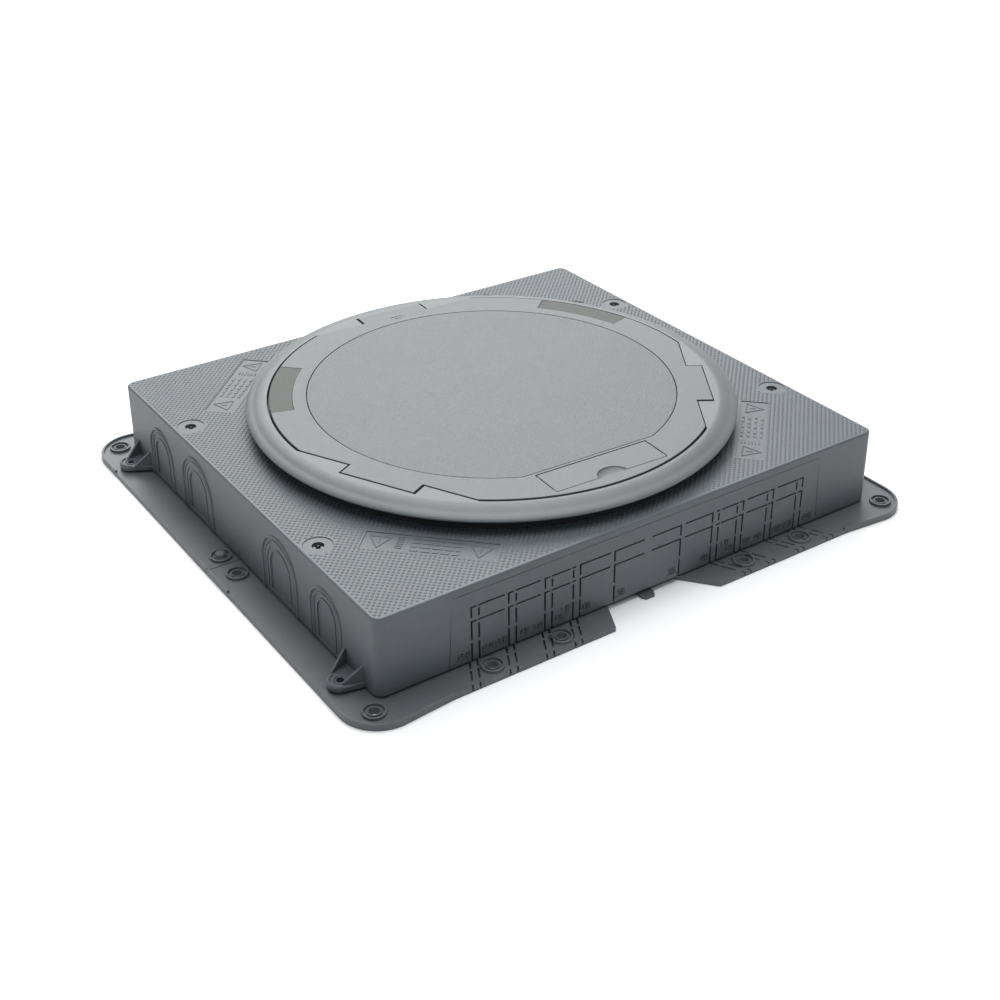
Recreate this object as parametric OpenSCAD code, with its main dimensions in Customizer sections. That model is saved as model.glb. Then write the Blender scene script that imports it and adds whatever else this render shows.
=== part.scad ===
// Underfloor service box: a two-part base frame, a levelling hood that slides on it,
// and a round floor outlet with a lift-out lid, a centre inlay and a cable flap.
// Millimetres, +Z up, origin on the floor under the middle of the hood.

/* [Base frame] */
// Length of the base frame, along X
base_len = 417; // [412:1:424]
// Width of the base frame, along Y
base_wid = 382; // [380:1:390]
// Radius of the base frame's outer corners
base_corner_r = 25; // [18:1:30]
// Thickness of the base flange
flange_t = 3; // [2.5:0.1:4]
// Height of the upright skirt that guides the hood
skirt_h = 38; // [34:1:42]
// Height of the posts that hold the threaded inserts
post_h = 42; // [40:1:44]

/* [Hood] */
// Length of the hood, along X
hood_len = 371; // [368:0.5:374]
// Width of the hood, along Y
hood_wid = 336.6; // [334:0.1:340]
// Height of the hood at its walls
hood_h = 51; // [48:1:56]
// Gap between the floor and the hood's lower edge
hood_gap = 4; // [3.5:0.1:6]
// Thickness of the hood's walls
wall_t = 2.6; // [2:0.1:3.2]
// Thickness of the hood's top plate
plate_t = 3; // [2.5:0.1:4]
// Radius of the hood's upright corners
hood_corner_r = 8; // [5:1:12]
// Radius of the round opening in the top plate
opening_r = 144.5; // [144:0.1:146]

/* [Levelling screws] */
// Distance of each levelling screw from the middle, along X
screw_x = 174; // [173:0.5:175]
// Distance of each levelling screw from the middle, along Y
screw_y = 86; // [80:1:92]
// Radius of the screw's shank
shank_r = 2.95; // [2.45:0.05:3.45]
// Radius of the screw's head
head_r = 4.4; // [4:0.1:5]
// Radius of the smooth pad around each head
pad_r = 8.8; // [8:0.1:9.5]

/* [Outlet ring] */
// How far the ring sits from the middle of the hood, along X
ring_dx = 2; // [-2:0.5:2]
// How far the ring sits from the middle of the hood, along Y
ring_dy = -1.5; // [-2:0.5:2]
// How far the ring is turned from the hood's edges, in degrees
ring_turn = -2.4; // [-5:0.1:5]
// Radius of the ring's rim
rim_r = 160.4; // [158:0.1:162]
// Height of the rim's widest line above the top plate
rim_rise = 9.8; // [9:0.1:11]
// Outer radius of the ring's skirt
ring_skirt_r = 141; // [139:0.5:141]
// Outer radius of the black seal under the rim
seal_r = 152.5; // [150:0.5:154]

/* [Lid] */
// Height of the lid's face above the top plate
lid_rise = 15.4; // [15:0.1:16]
// Radius of the lid's round stretches
lid_r = 145.2; // [144:0.1:146]
// Distance of the lid's three flats from its centre
flat_d = 131.6; // [130:0.1:133]
// Distance of the three square tabs' ends from the lid's centre
tab_d = 142.2; // [141:0.1:143]
// Width of each square tab
tab_w = 50; // [40:1:56]
// Gap between the lid and the ring
lid_gap = 1.1; // [0.6:0.1:1.5]
// Radius of the centre inlay
inlay_r = 120.8; // [118:0.1:122]
// Distance of the inlay's flat edge from its centre
inlay_flat_d = 111.2; // [110:0.1:111.4]
// Length of the cable flap
flap_len = 79.6; // [70:0.1:82]
// Width of the cable flap
flap_wid = 22; // [18:0.1:23]
// Half of the angle that each foam pad spans
foam_half = 13.3; // [10:0.1:15]

/* [Hidden] */
$fn = 96;
eps = 0.01;

hood_z = hood_gap;
plate_z = hood_z + hood_h;
plate_low = plate_z - plate_t;
lid_z = plate_z + lid_rise;
running = 0.05;

// Hood knock-outs: half widths of the trunking sizes, and the two cover heights
trunk_x = [25, 50, 55, 70, 75, 95, 100, 120, 125];
flange_trunk_x = [50, 55, 70, 75, 95, 100, 120, 125];
trunk_z = [25.7, 35.6];
score_w = 1;
score_deep = 1.8;
// Conduit arches on the two short sides: [distance from the middle, outer radius]
arches = [[112.5, 18.4], [56.5, 22.2]];
arch_z = 21;
bead_w = 2;

// Base frame
skirt_gap = 0.7;
skirt_t = 2.3;
skirt_x = hood_len / 2 - wall_t - skirt_gap;
skirt_y = hood_wid / 2 - wall_t - skirt_gap;
post_r = 6.5;
insert_r = 4.2;
insert_h = 8;
boss_r = 6.8;
boss_h = 1.6;
hole_r = 2.25;
corner_boss = [192.5, 176];
front_boss_x = [70, 117.5];
front_boss_y = 178;
seam_boss_x = 194.5;
seam_boss_y = [-14.5, 9];
splay = 29;
seam_gap = 0.1;
lip_h = 1.4;
lip_w = 1.8;
front_in = 3;
front_flat = 150;
front_taper = 33;

// Outlet ring
ledge_z = lid_z - 6.4;
ring_top = lid_z - 0.3;
ledge_r = 134;
rim_z = plate_z + rim_rise;
rim_low = rim_z - 1.3;
ring_foot = 38;
skirt_ri = ring_skirt_r - 2.5;
buffer_t = 1;
claw_r = 131;
claw_angles = [60, 180, 300];
claw_shank = 2.45;
claw_reach = 20;
claw_top = plate_low - 0.3;
boss_top = plate_z + 3;

// Lid
lid_low = ledge_z + buffer_t;
inlay_t = 3;
inlay_gap = 0.5;
flap_in = 114.1;
flap_t = 3;
flap_gap = 0.7;
pin_r = 0.8;
pin_d = flap_in + 1.5;
pin_z = lid_z - 1.4;
moon_r = 10.3;
foam_in = 130.3;
stiffener_r = 112;
stiffener_t = 2;
lid_screw_r = 100;
lid_screw_count = 6;

// ---------- shared shapes ----------
module rounded(x, y, r) {
  square([2 * x, 2 * (y - r)], center = true);
  square([2 * (x - r), 2 * y], center = true);
  for (sx = [-1, 1], sy = [-1, 1]) translate([sx * (x - r), sy * (y - r)]) circle(r);
}

module front_side() translate([-300, -600]) square([600, 600 - seam_gap / 2]);

module at_screw(i) {
  sx = (i == 1 || i == 3) ? -1 : 1;
  sy = (i <= 2) ? -1 : 1;
  translate([sx * screw_x, sy * screw_y, 0]) children();
}

module on_ring() translate([ring_dx, ring_dy, 0]) rotate(ring_turn) children();

module at_claw(i) on_ring() rotate(claw_angles[i - 1]) translate([claw_r, 0, 0]) children();

module tube(r_out, r_in, z_low, z_high) difference() {
  translate([0, 0, z_low]) cylinder(r = r_out, h = z_high - z_low);
  translate([0, 0, z_low - 1]) cylinder(r = r_in, h = z_high - z_low + 2);
}

module sector(r_in, r_out, half, z_low, z_high) rotate(-half)
  rotate_extrude(angle = 2 * half) translate([r_in, z_low]) square([r_out - r_in, z_high - z_low]);

// Outline of the lid, grown by a gap all round
module lid_outline(gap) {
  intersection() {
    circle(lid_r + gap, $fn = 192);
    rotate(30) circle(2 * (flat_d + gap), $fn = 3);
  }
  for (a = [90, 210, 330]) rotate(a) translate([0, -tab_w / 2 - gap]) square([tab_d + gap, tab_w + 2 * gap]);
}

module inlay_outline(gap) intersection() {
  circle(inlay_r + gap, $fn = 192);
  translate([-200, -inlay_flat_d - gap]) square([400, 400]);
}

// ---------- base frame ----------
module floor_boss(x, y) translate([x, y, 0]) cylinder(r = boss_r, h = flange_t + boss_h, $fn = 48);

module floor_hole(x, y) translate([x, y, -1]) {
  cylinder(r = hole_r, h = flange_t + boss_h + 2, $fn = 48);
  translate([0, 0, flange_t + 1 - 0.4]) cylinder(r = boss_r - 1.6, h = boss_h + 2, $fn = 48);
}

module boss_places() {
  for (s = [-1, 1]) {
    translate([s * corner_boss[0], -corner_boss[1], 0]) children();
    for (x = front_boss_x) translate([s * x, -front_boss_y, 0]) children();
  }
  translate([-seam_boss_x, seam_boss_y[0], 0]) children();
  translate([seam_boss_x, -seam_boss_y[1], 0]) children();
}

// The raised lip runs round the corners and past the seam, and stops opposite the conduits
module lip() intersection() {
  translate([0, 0, eps]) linear_extrude(flange_t + lip_h - eps) difference() {
    rounded(base_len / 2, base_wid / 2, base_corner_r);
    rounded(base_len / 2 - lip_w, base_wid / 2 - lip_w, base_corner_r - lip_w);
  }
  union() {
    for (s = [-1, 1]) translate([s * base_len / 2 - 30, -base_wid / 2 - 1, 0]) cube([60, 50, 20]);
    translate([-base_len / 2 - 1, -30, 0]) cube([base_len + 2, 30 - seam_gap / 2, 20]);
  }
}

// Sloped edge that leaves room for conduits
module conduit_ramp(side) scale([side, 1, 1]) translate([base_len / 2, -33, 0]) rotate([90, 0, 0])
  linear_extrude(97) polygon([[-10, flange_t + eps], [0.1, 0.6], [0.1, flange_t + 4], [-10, flange_t + 4]]);

module skirt_windows() {
  translate([-127, -skirt_y - 2, flange_t]) cube([254, skirt_t + 6, skirt_h]);
  for (s = [-1, 1], a = arches)
    translate([s * (skirt_x - 1) - 4, -a[0] - a[1], flange_t]) cube([8, 2 * a[1], skirt_h]);
}

module notch() translate([0, 0, -1]) linear_extrude(flange_t + 4) polygon([
  [-27.5, -skirt_y - 0.5], [-27.5 - 12.5, -base_wid / 2 - 1],
  [24 + 22, -base_wid / 2 - 1], [24, -skirt_y - 0.5]]);

// The long edges draw in a little between the corners
module front_relief() translate([0, -base_wid / 2, -1]) linear_extrude(20) polygon([
  [-front_flat - front_taper, -1], [-front_flat - front_taper, 0], [-front_flat, front_in],
  [front_flat, front_in], [front_flat + front_taper, 0], [front_flat + front_taper, -1]]);

module notch_tab() linear_extrude(flange_t - 1) polygon([
  [-5, -skirt_y], [-5, -skirt_y - 6], [-3, -skirt_y - 8.5], [3, -skirt_y - 8.5], [5, -skirt_y - 5], [5, -skirt_y]]);

module flange_scores() for (s = [-1, 1], x = flange_trunk_x)
  translate([s * x, -hood_wid / 2, flange_t - score_deep]) rotate(s * splay)
    translate([-score_w / 2, -40, 0]) cube([score_w, 43, 10]);

module base_half() {
  difference() {
    union() {
      linear_extrude(flange_t) intersection() {
        difference() {
          rounded(base_len / 2, base_wid / 2, base_corner_r);
          rounded(skirt_x - skirt_t, skirt_y - skirt_t, hood_corner_r - 3);
        }
        front_side();
      }
      difference() {
        linear_extrude(skirt_h) intersection() {
          difference() {
            rounded(skirt_x, skirt_y, hood_corner_r - 2);
            rounded(skirt_x - skirt_t, skirt_y - skirt_t, hood_corner_r - 3);
          }
          front_side();
        }
        skirt_windows();
      }
      lip();
      boss_places() floor_boss(0, 0);
      for (s = [-1, 1]) {
        translate([s * screw_x, -screw_y, 0]) cylinder(r = post_r, h = post_h, $fn = 64);
        scale([s, 1, 1]) translate([screw_x - 12, -screw_y - 1.2, 0]) cube([skirt_x - screw_x + 11, 2.4, 20]);
      }
      notch_tab();
    }
    notch();
    front_relief();
    flange_scores();
    for (s = [-1, 1]) {
      conduit_ramp(s);
      translate([s * screw_x, -screw_y, -1]) cylinder(r = shank_r + 0.5, h = post_h + 2);
      translate([s * screw_x, -screw_y, post_h - insert_h]) cylinder(r = insert_r, h = insert_h + 1);
      // screw holes for the join plates
      translate([s * (skirt_x - skirt_t - 1), -15, 18]) rotate([0, s * 90, 0]) cylinder(r = 1.5, h = 5, $fn = 32);
    }
    boss_places() floor_hole(0, 0);
  }
}

module base_front() color("#5a5f62") base_half();
module base_rear() color("#5e6366") rotate(180) base_half();

module join_plate() translate([skirt_x - skirt_t - 2, -22, 6]) difference() {
  cube([2, 44, 24]);
  for (y = [7, 37]) translate([-1, y, 12]) rotate([0, 90, 0]) cylinder(r = 1.5, h = 4, $fn = 32);
}
module join_plate_left() color("#44484b") rotate(180) join_plate();
module join_plate_right() color("#44484b") join_plate();

module join_screws() color("silver") for (turn = [0, 180], y = [-15, 15])
  rotate(turn) translate([skirt_x - skirt_t - 2, y, 18]) rotate([0, 90, 0]) {
    cylinder(r = 1.5, h = skirt_t + 1.8, $fn = 32);
    translate([0, 0, -1.8]) cylinder(r = 3, h = 1.8, $fn = 32);
  }

module thread_inserts() color("#c9a24a") for (i = [1:4]) at_screw(i)
  tube(insert_r, shank_r + running, post_h - insert_h, post_h);

// ---------- hood ----------
module arch_shape(r) {
  intersection() {
    circle(r);
    translate([-r, 0]) square([2 * r, r]);
  }
  translate([-r, -arch_z]) square([2 * r, arch_z]);
}

// One side's arches, drawn in the plane of the wall and pushed out of it
module arch_beads(side) for (sy = [-1, 1], a = arches)
  translate([side * hood_len / 2, sy * a[0], hood_z + arch_z]) rotate([90, 0, side * 90])
    translate([0, 0, -1]) linear_extrude(2) difference() {
      arch_shape(a[1]);
      arch_shape(a[1] - bead_w);
    }

module arch_scores(side) for (sy = [-1, 1], a = arches, k = [1, 2])
  translate([side * hood_len / 2, sy * a[0], hood_z + arch_z]) rotate([90, 0, side * 90])
    translate([0, 0, -0.5]) linear_extrude(2) difference() {
      arch_shape(a[1] - bead_w - 3.6 * k);
      arch_shape(a[1] - bead_w - 3.6 * k - 0.7);
    }

module trunk_scores(side) translate([0, side * hood_wid / 2, 0]) {
  for (s = [-1, 1], x = trunk_x) translate([s * x - score_w / 2, -score_deep, hood_z - 1])
    cube([score_w, 2 * score_deep, 1 + (x == 25 ? trunk_z[1] - 4 : trunk_z[1])]);
  for (s = [-1, 1], z = trunk_z)
    translate([s * 69 - 56, -score_deep, hood_z + z]) cube([112, 2 * score_deep, score_w]);
}

// Fixing lug with two gussets, at the foot of a short side
lug_hole = [196.2, 146];
module lug(sx, sy) translate([sx * hood_len / 2, sy * lug_hole[1], hood_z]) scale([sx, sy, 1]) {
  reach = lug_hole[0] - hood_len / 2;
  difference() {
    union() {
      linear_extrude(3) polygon([[-1, -13], [1, -13], [reach - 1, -6.5], [reach - 1, 6.5], [1, 9], [-1, 9]]);
      translate([reach, 0, 0]) cylinder(r = 7.6, h = 4.2, $fn = 48);
      for (y = [-13, 7]) translate([-1, y + 2, 0]) rotate([90, 0, 0])
        linear_extrude(2) polygon([[0, 0], [reach, 0], [reach, 4], [0, 15]]);
    }
    translate([reach, 0, -1]) cylinder(r = hole_r, h = 8, $fn = 48);
    translate([reach, 0, 3]) cylinder(r = 6, h = 30, $fn = 48);
  }
}

module hood() color("#6b7073") difference() {
  union() {
    difference() {
      translate([0, 0, hood_z]) linear_extrude(hood_h) rounded(hood_len / 2, hood_wid / 2, hood_corner_r);
      translate([0, 0, hood_z - 1]) linear_extrude(hood_h - plate_t + 1)
        rounded(hood_len / 2 - wall_t, hood_wid / 2 - wall_t, hood_corner_r - wall_t);
    }
    for (i = [1:4]) at_screw(i) translate([0, 0, plate_z - 6]) cylinder(r = pad_r - 0.2, h = 5);
    for (s = [-1, 1]) arch_beads(s);
    for (sx = [-1, 1], sy = [-1, 1]) lug(sx, sy);
  }
  translate([0, 0, plate_low - 1]) cylinder(r = opening_r, h = plate_t + 2, $fn = 192);
  for (i = [1:4]) at_screw(i) {
    translate([0, 0, plate_z - 7]) cylinder(r = shank_r + running, h = 10);
    translate([0, 0, plate_z - 3.2]) cylinder(r = head_r + 0.4, h = 5);
    translate([0, 0, plate_z - 0.4]) cylinder(r = pad_r, h = 2);
  }
  for (s = [-1, 1]) {
    arch_scores(s);
    trunk_scores(s);
  }
  // smooth sunk fields for instructions, one across each corner
  for (a = [45:90:315]) rotate(a) translate([173.5 - 9, -39, plate_z - 0.4]) cube([18, 78, 2]);
}

// ---------- levelling screws ----------
module levelling_screw(i) color("#b9bcbe") at_screw(i) difference() {
  union() {
    translate([0, 0, 8]) cylinder(r = shank_r, h = plate_z - 8 - 2);
    translate([0, 0, plate_z - 2.9]) cylinder(r = head_r, h = 2.5);
  }
  translate([0, 0, plate_z - 0.9]) {
    cube([1.2, 5.6, 3], center = true);
    cube([5.6, 1.2, 3], center = true);
  }
}
module levelling_screw_1() levelling_screw(1);
module levelling_screw_2() levelling_screw(2);
module levelling_screw_3() levelling_screw(3);
module levelling_screw_4() levelling_screw(4);

module screw_clip(i) color("#8f9294") at_screw(i) tube(5.6, shank_r, plate_z - 7.5, plate_z - 6.3);
module screw_clip_1() screw_clip(1);
module screw_clip_2() screw_clip(2);
module screw_clip_3() screw_clip(3);
module screw_clip_4() screw_clip(4);

// ---------- outlet ring ----------
module ring_profile() polygon([
  [skirt_ri, ring_foot], [ring_skirt_r, ring_foot], [ring_skirt_r, rim_low - 0.2],
  [rim_r - 1.4, rim_low], [rim_r - 0.4, rim_low + 0.4], [rim_r, rim_z], [rim_r - 0.3, rim_z + 0.9],
  [rim_r - 1.4, rim_z + 2], [rim_r - 3.5, rim_z + 3.1], [rim_r - 7, rim_z + 4.1], [rim_r - 11, ring_top - 0.3],
  [rim_r - 14, ring_top], [ledge_r - 3, ring_top], [ledge_r - 3, ledge_z - 2.4], [skirt_ri, ledge_z - 2.4]]);

module outlet_ring() color("#73797c") difference() {
  on_ring() {
    difference() {
      rotate_extrude($fn = 192) ring_profile();
      // pocket for the lid, and the well below its ledge
      translate([0, 0, ledge_z]) linear_extrude(20) lid_outline(lid_gap);
      translate([0, 0, 0]) cylinder(r = ledge_r, h = ledge_z + 0.1, $fn = 192);
      // windows that the claws swing through
      for (a = claw_angles) rotate(a) translate([skirt_ri - 6, -28, ring_foot - 1]) cube([16, 36, claw_top - ring_foot + 2]);
    }
    for (a = claw_angles) rotate(a) {
      translate([claw_r, 0, plate_low + 0.5]) cylinder(r = 6, h = boss_top - plate_low - 0.5, $fn = 64);
      translate([claw_r, -3, plate_low + 0.8]) cube([skirt_ri - claw_r + 1, 6, boss_top - plate_low - 2]);
    }
  }
  on_ring() for (a = claw_angles) rotate(a) translate([claw_r, 0, 40])
    cylinder(r = claw_shank + running, h = 30, $fn = 64);
}

module rim_seal() color("#191a1b") on_ring() tube(seal_r, 148, plate_z, rim_low - 0.3);

module lid_buffers() color("#222324") on_ring() for (a = [30, 150, 270])
  rotate(a) sector(136, 142, 9, ledge_z, ledge_z + buffer_t);

module claw(i) color("#8d9193") at_claw(i) difference() {
  union() {
    translate([0, 0, claw_top - 7]) cylinder(r = 5.2, h = 7, $fn = 64);
    translate([0, -4, claw_top - 4.5]) cube([claw_reach, 8, 4.5]);
  }
  translate([0, 0, 30]) cylinder(r = claw_shank, h = 40, $fn = 64);
}
module claw_1() claw(1);
module claw_2() claw(2);
module claw_3() claw(3);

module claw_screw(i) color("silver") at_claw(i) difference() {
  union() {
    translate([0, 0, claw_top - 9]) cylinder(r = claw_shank, h = boss_top + 0.3 - claw_top + 9, $fn = 64);
    translate([0, 0, boss_top + 0.3]) cylinder(r = 4.4, h = 2.8, $fn = 64);
  }
  translate([0, 0, boss_top + 2.6]) {
    cube([1.1, 5.4, 2.4], center = true);
    cube([5.4, 1.1, 2.4], center = true);
  }
}
module claw_screw_1() claw_screw(1);
module claw_screw_2() claw_screw(2);
module claw_screw_3() claw_screw(3);

// ---------- lid ----------
module foam_sector(gap) sector(foam_in - gap, lid_r + 5, foam_half + gap / 2.4, lid_low - 1, lid_z + 1);

module lid() color("#7b8083") on_ring() difference() {
  translate([0, 0, lid_low]) linear_extrude(lid_z - lid_low) lid_outline(0);
  translate([0, 0, lid_z - inlay_t]) linear_extrude(5) inlay_outline(inlay_gap);
  // cable outlet under the flap, and the step that the flap rests on
  translate([-flap_len / 2 - flap_gap, -flap_in - flap_wid + 3, lid_low - 1]) cube([flap_len + 2 * flap_gap, flap_wid - 3 + flap_gap, 20]);
  translate([-flap_len / 2 - flap_gap, -flap_in - flap_wid - flap_gap, lid_z - flap_t - 0.2])
    cube([flap_len + 2 * flap_gap, flap_wid + 2 * flap_gap, 10]);
  translate([-flap_len / 2 - 5, -pin_d, pin_z]) rotate([0, 90, 0]) cylinder(r = pin_r + running, h = flap_len + 10, $fn = 32);
  for (a = [30, 150]) rotate(a) foam_sector(0.05);
  for (k = [1:lid_screw_count]) rotate(k * 360 / lid_screw_count) translate([lid_screw_r, 0, lid_low - 1])
    cylinder(r = 1.5, h = 2.6 + 1, $fn = 32);
}

module cable_foam(a) color("#787a76") on_ring() rotate(a)
  sector(foam_in, lid_r, foam_half, lid_low, lid_z - 0.05);
module cable_foam_left() cable_foam(150);
module cable_foam_right() cable_foam(30);

module lid_stiffener() color("#9a9da0") on_ring() difference() {
  translate([0, 0, lid_low - stiffener_t]) cylinder(r = stiffener_r, h = stiffener_t, $fn = 192);
  for (k = [1:lid_screw_count]) rotate(k * 360 / lid_screw_count) translate([lid_screw_r, 0, lid_low - 5])
    cylinder(r = 1.5, h = 10, $fn = 32);
}

module lid_screws() color("silver") on_ring() for (k = [1:lid_screw_count])
  rotate(k * 360 / lid_screw_count) translate([lid_screw_r, 0, lid_low - stiffener_t]) {
    cylinder(r = 1.5, h = stiffener_t + 2.4, $fn = 32);
    translate([0, 0, -1.6]) cylinder(r = 3, h = 1.6, $fn = 32);
  }

module centre_inlay() color("#84898c") on_ring() translate([0, 0, lid_z - inlay_t + 0.1])
  linear_extrude(inlay_t - 0.1) inlay_outline(0);

// The finger notch is a half-moon hollow at the flap's outer edge
module cable_flap() color("#7e8386") on_ring() difference() {
  translate([-flap_len / 2, -flap_in - flap_wid, lid_z - flap_t]) cube([flap_len, flap_wid, flap_t]);
  translate([0, -flap_in - flap_wid, lid_z - 1.8]) cylinder(r = moon_r, h = 5);
  translate([-60, -pin_d, pin_z]) rotate([0, 90, 0]) cylinder(r = pin_r, h = 120, $fn = 32);
}

module flap_pins() color("silver") on_ring() for (s = [-1, 1])
  translate([s * (flap_len / 2 - 2), -pin_d, pin_z]) rotate([0, 90, 0])
    cylinder(r = pin_r, h = 13, center = true, $fn = 32);

base_front();
base_rear();
join_plate_left();
join_plate_right();
join_screws();
thread_inserts();
hood();
levelling_screw_1();
levelling_screw_2();
levelling_screw_3();
levelling_screw_4();
screw_clip_1();
screw_clip_2();
screw_clip_3();
screw_clip_4();
outlet_ring();
rim_seal();
lid_buffers();
claw_1();
claw_2();
claw_3();
claw_screw_1();
claw_screw_2();
claw_screw_3();
lid();
lid_stiffener();
lid_screws();
centre_inlay();
cable_foam_left();
cable_foam_right();
cable_flap();
flap_pins();
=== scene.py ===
import math
import bpy
from mathutils import Matrix, Vector


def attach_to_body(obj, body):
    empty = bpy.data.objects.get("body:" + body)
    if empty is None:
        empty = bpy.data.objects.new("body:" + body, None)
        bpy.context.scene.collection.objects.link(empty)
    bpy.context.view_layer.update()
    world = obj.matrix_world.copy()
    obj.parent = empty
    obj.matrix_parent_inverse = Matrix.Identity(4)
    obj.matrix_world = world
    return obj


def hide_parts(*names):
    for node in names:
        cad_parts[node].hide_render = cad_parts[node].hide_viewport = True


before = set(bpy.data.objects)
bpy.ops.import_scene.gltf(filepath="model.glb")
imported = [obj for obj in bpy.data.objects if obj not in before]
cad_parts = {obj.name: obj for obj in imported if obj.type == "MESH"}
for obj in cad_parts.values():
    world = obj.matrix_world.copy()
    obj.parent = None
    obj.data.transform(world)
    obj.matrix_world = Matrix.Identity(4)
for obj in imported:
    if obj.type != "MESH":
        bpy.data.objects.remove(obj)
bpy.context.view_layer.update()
mm = 0.001
print("frame loaded:", len(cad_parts), "nodes")


# Meshes are built in millimetres
class Form:
    def __init__(self):
        self.points = []
        self.faces = []

    def loft(self, rings, around=False):
        count = len(rings[0])
        first = len(self.points)
        for ring in rings:
            self.points.extend(Vector(p) for p in ring)
        spans = len(rings) if around else len(rings) - 1
        for k in range(spans):
            low = first + k * count
            high = first + ((k + 1) % len(rings)) * count
            for i in range(count):
                j = (i + 1) % count
                self.faces.append((low + i, low + j, high + j, high + i))
        if not around:
            self.faces.append(tuple(first + i for i in reversed(range(count))))
            self.faces.append(tuple(first + spans * count + i for i in range(count)))
        return self

    # An outline raised between two heights, with a rounded top edge where soft is given
    def slab(self, outline, low, high, soft=0.0, steps=4):
        rings = [level(outline(0), low)]
        if soft:
            for k in range(steps + 1):
                a = math.pi / 2 * k / steps
                rings.append(level(outline(soft * (1 - math.cos(a))), high - soft + soft * math.sin(a)))
        else:
            rings.append(level(outline(0), high))
        return self.loft(rings)

    def block(self, xs, ys, zs, turn=None):
        corners = [(xs[0], ys[0]), (xs[1], ys[0]), (xs[1], ys[1]), (xs[0], ys[1])]
        rings = [[Vector((x, y, z)) for x, y in corners] for z in zs]
        if turn is not None:
            rings = [[turn @ p for p in ring] for ring in rings]
        return self.loft(rings)

    def lathe(self, profile, steps=192, turn=None):
        rings = []
        for k in range(steps):
            a = 2 * math.pi * k / steps
            ring = [Vector((r * math.cos(a), r * math.sin(a), z)) for r, z in reversed(profile)]
            rings.append([turn @ p for p in ring] if turn else ring)
        return self.loft(rings, around=True)

    def drum(self, centre, radius, low, high, steps=48, soft=0.0, top=None):
        top = radius if top is None else top
        rings = [(radius, low), (top, high)]
        if soft:
            rings = [(radius, low)] + [(top - soft * (1 - math.cos(a)), high - soft + soft * math.sin(a))
                                       for a in (math.pi / 2 * k / 3 for k in range(4))]
        return self.loft([circle(centre, r, z, steps) for r, z in rings])

    # A half-round ridge along a path that lies on a surface facing outward
    def ridge(self, path, outward, width, height, sunk=0.4):
        rings = []
        for k, p in enumerate(path):
            ahead = (path[min(k + 1, len(path) - 1)] - path[max(k - 1, 0)]).normalized()
            across = ahead.cross(outward).normalized()
            ring = [p + across * (width / 2 * math.cos(a)) + outward * (height * math.sin(a))
                    for a in (math.pi * i / 6 for i in range(7))]
            rings.append([p + across * (width / 2) - outward * sunk] + ring
                         + [p - across * (width / 2) - outward * sunk])
        return self.loft([list(reversed(ring)) for ring in rings])

    def moved(self, matrix, first=0):
        for i in range(first, len(self.points)):
            self.points[i] = matrix @ self.points[i]
        return self


def level(outline, z):
    return [Vector((p[0], p[1], z)) for p in outline]


def circle(centre, radius, z, steps):
    return [Vector((centre[0] + radius * math.cos(a), centre[1] + radius * math.sin(a), z))
            for a in (2 * math.pi * k / steps for k in range(steps))]


def roundRect(halfX, halfY, radius, steps=8, centre=(0, 0)):
    points = []
    for sx, sy, start in ((1, 1, 0), (-1, 1, 90), (-1, -1, 180), (1, -1, 270)):
        for k in range(steps + 1):
            a = math.radians(start + 90 * k / steps)
            points.append((centre[0] + sx * (halfX - radius) + radius * math.cos(a),
                           centre[1] + sy * (halfY - radius) + radius * math.sin(a)))
    return points


def shown(form, name):
    mesh = bpy.data.meshes.new(name)
    mesh.from_pydata([p * mm for p in form.points], [], form.faces)
    mesh.update()
    thing = bpy.data.objects.new(name, mesh)
    bpy.context.scene.collection.objects.link(thing)
    return thing


def combine(thing, tool, how):
    step = thing.modifiers.new("step", "BOOLEAN")
    step.operation = how
    step.solver = "MANIFOLD"
    step.object = tool
    bpy.context.view_layer.update()
    done = bpy.data.meshes.new_from_object(thing.evaluated_get(bpy.context.evaluated_depsgraph_get()))
    if not len(done.polygons):
        raise RuntimeError("nothing left of " + thing.name)
    thing.modifiers.clear()
    thing.data = done
    bpy.data.objects.remove(tool)
    return thing


def carve(thing, form):
    return combine(thing, shown(form, "tool"), "DIFFERENCE")


def add(thing, form):
    return combine(thing, shown(form, "tool"), "UNION")


def join(thing, other):
    with bpy.context.temp_override(active_object=thing, selected_editable_objects=[thing, other]):
        bpy.ops.object.join()
    return thing


# Joins separate closed forms into the piece without cutting it
def attach(thing, form):
    return join(thing, shown(form, "extra"))


def finishPiece(thing, name, body, material, stands=(), sharp=32):
    thing.name = name
    thing.data.name = name
    thing.data.materials.clear()
    thing.data.materials.append(material)
    thing.data.polygons.foreach_set("use_smooth", [True] * len(thing.data.polygons))
    thing.data.set_sharp_from_angle(angle=math.radians(sharp))
    even = thing.modifiers.new("even", "WEIGHTED_NORMAL")
    even.keep_sharp = True
    even.weight = 100
    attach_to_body(thing, body)
    if stands:
        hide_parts(*stands)
    print("made", name, len(thing.data.polygons), "faces")
    return thing


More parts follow.
